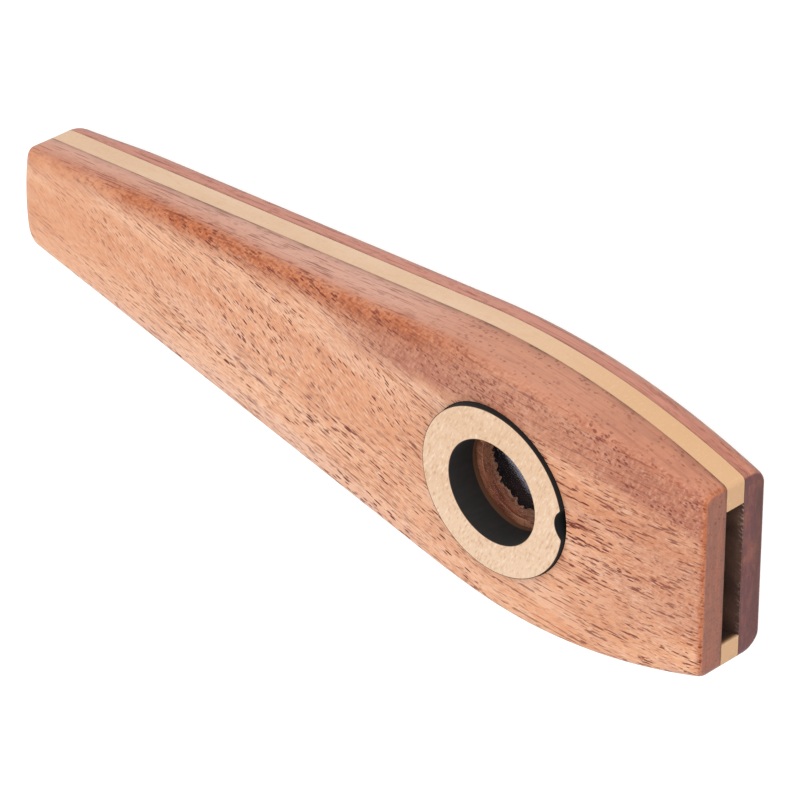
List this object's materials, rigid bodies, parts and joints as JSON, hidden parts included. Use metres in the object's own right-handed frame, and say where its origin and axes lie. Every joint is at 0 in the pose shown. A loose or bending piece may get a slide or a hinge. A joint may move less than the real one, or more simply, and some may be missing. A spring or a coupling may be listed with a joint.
{
  "type": "kazoo",
  "caption": "Laminated wooden kazoo: flat tapered body with an air channel between two plates, and a push-in ring that holds a buzzing film over a bore.",
  "frame": {"origin": "middle of the body's box, on the surface that its flat back rests on", "axes": "+X towards the wide mouth end, +Y towards the left rail, +Z out of the arched front with the ring"},
  "size_m": [0.122, 0.0356, 0.0146],
  "materials": {
    "hardwood": "oiled red-brown wood",
    "maple": "sanded pale maple",
    "film": "thin clear film"
  },
  "bodies": {
    "body": {"front_plate": "hardwood", "back_plate": "hardwood", "left_rail": "maple", "right_rail": "maple"},
    "ring": {"membrane_ring": "maple"},
    "film": {"membrane": "film"}
  },
  "joints": [
    {"name": "ring_lift", "type": "slide", "parent": "body", "child": "ring", "axis": [0.0384, 0, 0.9993], "range_m": [0, 0.016]},
    {"name": "film_lift", "type": "slide", "parent": "body", "child": "film", "axis": [0.0384, 0, 0.9993], "range_m": [0, 0.008]}
  ],
  "couplings": [
    {"joint": "film_lift", "follows": "ring_lift", "ratio": 0.5}
  ]
}
